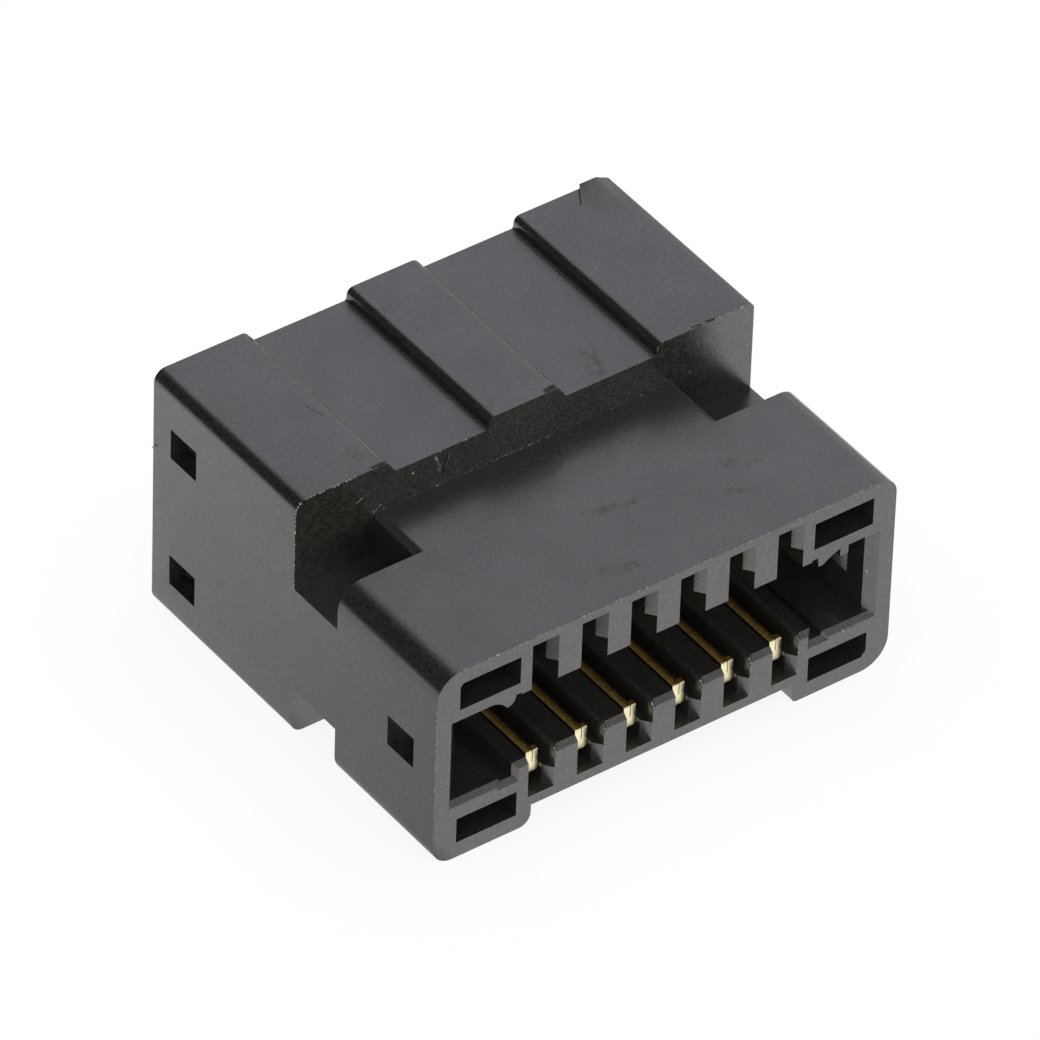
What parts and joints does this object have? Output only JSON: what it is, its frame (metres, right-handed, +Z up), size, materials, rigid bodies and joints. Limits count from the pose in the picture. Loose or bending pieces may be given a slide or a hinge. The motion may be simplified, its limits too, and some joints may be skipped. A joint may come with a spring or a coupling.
{
  "type": "wire-to-board header",
  "caption": "Rectangular black moulded header with a toothed mating cavity, flat gold contacts, a ribbed rear block and straight solder tails.",
  "frame": {"origin": "under the middle of the whole part on the plane it rests on, tails included", "axes": "+X along the contact row, -Y out of the mating face, +Z up through the ribbed top"},
  "size_m": [0.0234, 0.0236, 0.0125],
  "materials": {
    "housing_plastic": "fine moulded grain, satin black",
    "plate_plastic": "satin black",
    "contact_gold": "thin gold plating, satin"
  },
  "bodies": {
    "root": {"housing": "housing_plastic", "tail_plate": "plate_plastic", "contact_1": "contact_gold", "contact_2": "contact_gold", "contact_3": "contact_gold", "contact_4": "contact_gold", "contact_5": "contact_gold", "contact_6": "contact_gold"}
  },
  "joints": []
}
